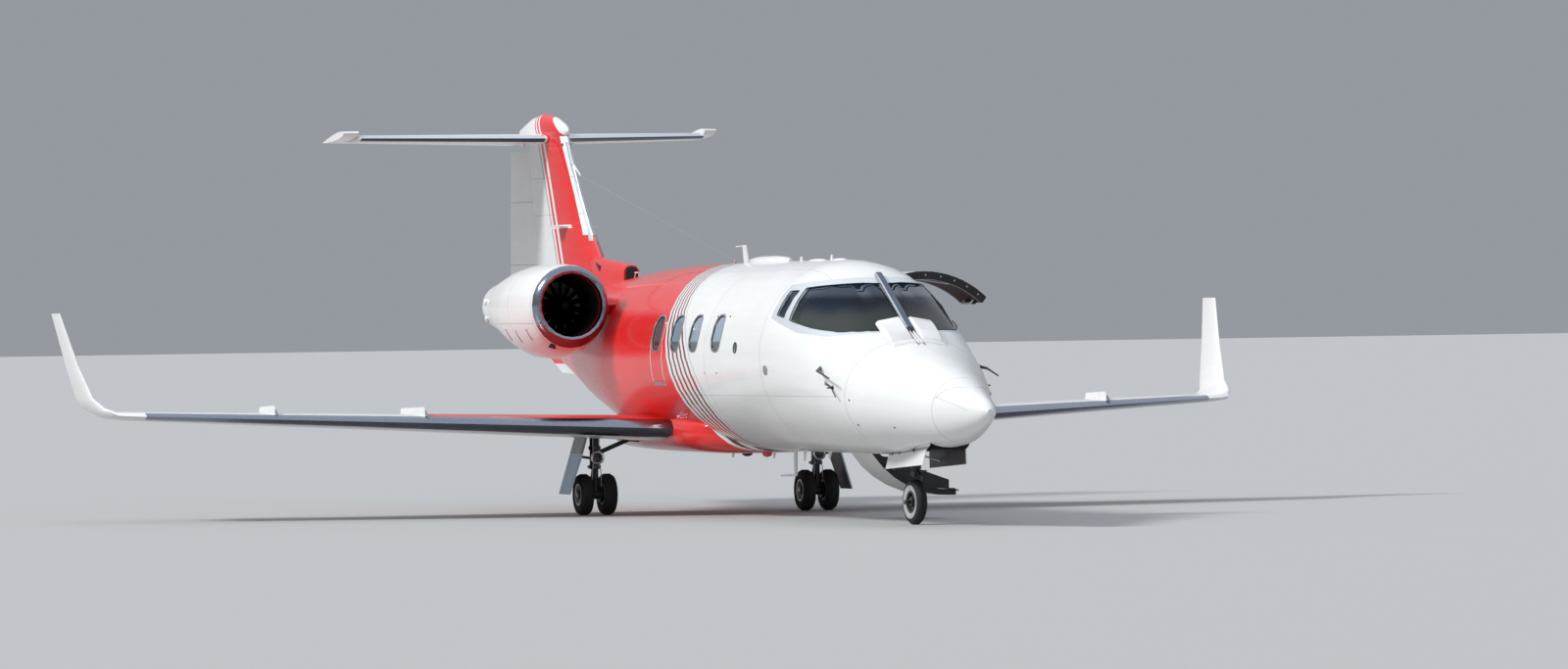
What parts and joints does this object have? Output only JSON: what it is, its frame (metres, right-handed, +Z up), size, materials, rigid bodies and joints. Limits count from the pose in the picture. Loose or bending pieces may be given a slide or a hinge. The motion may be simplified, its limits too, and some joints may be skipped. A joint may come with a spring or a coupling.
{
  "type": "air ambulance aircraft",
  "caption": "Twin-jet air ambulance aircraft with a low swept wing, winglets and a T-tail, parked on its wheels with both halves of the cabin door open.",
  "frame": {"origin": "on the ground below the middle of the aircraft's length and span", "axes": "+X forward to the nose, +Y to port, +Z up"},
  "size_m": [16.7948, 13.3396, 4.47],
  "materials": {
    "white_paint": "gloss",
    "red_paint": "gloss",
    "polished_metal": "polished",
    "gear_metal": "satin",
    "wheel_metal": "satin",
    "window_glass": "clear",
    "tyre_rubber": "matt",
    "cabin_trim": "matt",
    "seat_leather": "satin"
  },
  "bodies": {
    "airframe": {"radome": "white_paint", "nose_section": "white_paint", "cabin_shell": "white_paint", "windshield_duct_left": "white_paint", "windshield_duct_right": "white_paint", "aerial_wire": "gear_metal", "cabin_windows_left": "window_glass", "cabin_windows_right": "window_glass", "cockpit_glazing_left": "window_glass", "cockpit_glazing_right": "window_glass", "instrument_panel": "cabin_trim", "crew_seat_left": "seat_leather", "crew_seat_right": "seat_leather", "stretcher": "seat_leather", "tail_section": "red_paint", "belly_fairing": "white_paint", "wing_left": "white_paint", "wing_right": "white_paint", "tailplane": "white_paint", "fin": "white_paint", "ventral_fin": "white_paint", "nacelle_left": "white_paint", "nacelle_right": "white_paint", "engine_core_left": "polished_metal", "engine_core_right": "polished_metal", "pylon_left": "red_paint", "pylon_right": "red_paint", "main_leg_left": "gear_metal", "main_leg_right": "gear_metal", "main_gear_door_left": "white_paint", "main_gear_door_right": "white_paint", "nose_strut": "white_paint", "nose_gear_door_left": "white_paint", "nose_gear_door_right": "white_paint"},
    "upper_door": {"upper_door": "white_paint"},
    "lower_door": {"lower_door": "white_paint"},
    "rudder": {"rudder": "white_paint"},
    "nose_fork": {"nose_fork": "wheel_metal"},
    "nose_wheel": {"nose_rim": "wheel_metal", "nose_tyre": "tyre_rubber"},
    "main_wheels_left": {"main_rim_left_outer": "wheel_metal", "main_rim_left_inner": "wheel_metal", "main_tyre_left_outer": "tyre_rubber", "main_tyre_left_inner": "tyre_rubber"},
    "main_wheels_right": {"main_rim_right_outer": "wheel_metal", "main_rim_right_inner": "wheel_metal", "main_tyre_right_outer": "tyre_rubber", "main_tyre_right_inner": "tyre_rubber"},
    "fan_left": {"fan_left": "gear_metal"},
    "fan_right": {"fan_right": "gear_metal"},
    "elevator_left": {"elevator_left": "white_paint"},
    "elevator_right": {"elevator_right": "white_paint"},
    "aileron_left": {"aileron_left": "white_paint"},
    "aileron_right": {"aileron_right": "white_paint"},
    "flap_left": {"flap_left": "white_paint"},
    "flap_right": {"flap_right": "white_paint"},
    "spoiler_left": {"spoiler_left": "white_paint"},
    "spoiler_right": {"spoiler_right": "white_paint"}
  },
  "joints": [
    {"name": "main_wheels_left_roll", "type": "hinge", "parent": "airframe", "child": "main_wheels_left", "pos_m": [-0.946, 1.255, 0.22225], "axis": [0, 1, 0], "continuous": true},
    {"name": "main_wheels_right_roll", "type": "hinge", "parent": "airframe", "child": "main_wheels_right", "pos_m": [-0.946, -1.255, 0.22225], "axis": [0, 1, 0], "continuous": true},
    {"name": "nose_steering", "type": "hinge", "parent": "airframe", "child": "nose_fork", "pos_m": [6.104, 0, 0.56], "axis": [0, 0, 1], "range_deg": [-59.5, 50.5]},
    {"name": "nose_wheel_roll", "type": "hinge", "parent": "nose_fork", "child": "nose_wheel", "pos_m": [6.06412, -0.00314, 0.2285], "axis": [-0.0785, 0.9969, 0], "continuous": true},
    {"name": "fan_left_spin", "type": "hinge", "parent": "airframe", "child": "fan_left", "pos_m": [-1.736, 1.38, 2.262], "axis": [1, 0, 0], "continuous": true},
    {"name": "fan_right_spin", "type": "hinge", "parent": "airframe", "child": "fan_right", "pos_m": [-1.736, -1.38, 2.262], "axis": [1, 0, 0], "continuous": true},
    {"name": "upper_door_swing", "type": "hinge", "parent": "airframe", "child": "upper_door", "pos_m": [3.454, 0.569, 2.507], "axis": [1, 0, 0], "range_deg": [-54.6, 0]},
    {"name": "lower_door_swing", "type": "hinge", "parent": "airframe", "child": "lower_door", "pos_m": [3.454, 0.274, 0.739], "axis": [1, 0, 0], "range_deg": [0, 76.7]},
    {"name": "rudder_swing", "type": "hinge", "parent": "airframe", "child": "rudder", "pos_m": [-6.976, 0, 2.44], "axis": [-0.2629, 0, 0.9648], "range_deg": [-40, 10]},
    {"name": "elevator_left_swing", "type": "hinge", "parent": "airframe", "child": "elevator_left", "pos_m": [-7.45364, 0.13, 4.17234], "axis": [-0.287, 0.9578, 0.0172], "range_deg": [-8, 21]},
    {"name": "elevator_right_swing", "type": "hinge", "parent": "airframe", "child": "elevator_right", "pos_m": [-7.45364, -0.13, 4.17234], "axis": [0.287, 0.9578, -0.0172], "range_deg": [-8, 21]},
    {"name": "aileron_left_swing", "type": "hinge", "parent": "airframe", "child": "aileron_left", "pos_m": [-2.15634, 3.93, 1.05434], "axis": [-0.1543, 0.9873, 0.0375], "range_deg": [-18, 18]},
    {"name": "aileron_right_swing", "type": "hinge", "parent": "airframe", "child": "aileron_right", "pos_m": [-2.15634, -3.93, 1.05434], "axis": [0.1543, 0.9873, -0.0375], "range_deg": [-18, 18]},
    {"name": "flap_left_swing", "type": "hinge", "parent": "airframe", "child": "flap_left", "pos_m": [-1.82053, 1.13, 0.91886], "axis": [-0.144, 0.9887, 0.0414], "range_deg": [-40, 0]},
    {"name": "flap_right_swing", "type": "hinge", "parent": "airframe", "child": "flap_right", "pos_m": [-1.82053, -1.13, 0.91886], "axis": [0.144, 0.9887, -0.0414], "range_deg": [-40, 0]},
    {"name": "spoiler_left_swing", "type": "hinge", "parent": "airframe", "child": "spoiler_left", "pos_m": [-1.5852, 2.24, 1.0659], "axis": [-0.1902, 0.9814, 0.0249], "range_deg": [0, 47]},
    {"name": "spoiler_right_swing", "type": "hinge", "parent": "airframe", "child": "spoiler_right", "pos_m": [-1.5852, -2.24, 1.0659], "axis": [0.1902, 0.9814, -0.0249], "range_deg": [0, 47]}
  ],
  "couplings": [
    {"joint": "elevator_right_swing", "follows": "elevator_left_swing", "ratio": 1},
    {"joint": "aileron_right_swing", "follows": "aileron_left_swing", "ratio": -1},
    {"joint": "flap_right_swing", "follows": "flap_left_swing", "ratio": 1},
    {"joint": "spoiler_right_swing", "follows": "spoiler_left_swing", "ratio": 1}
  ]
}
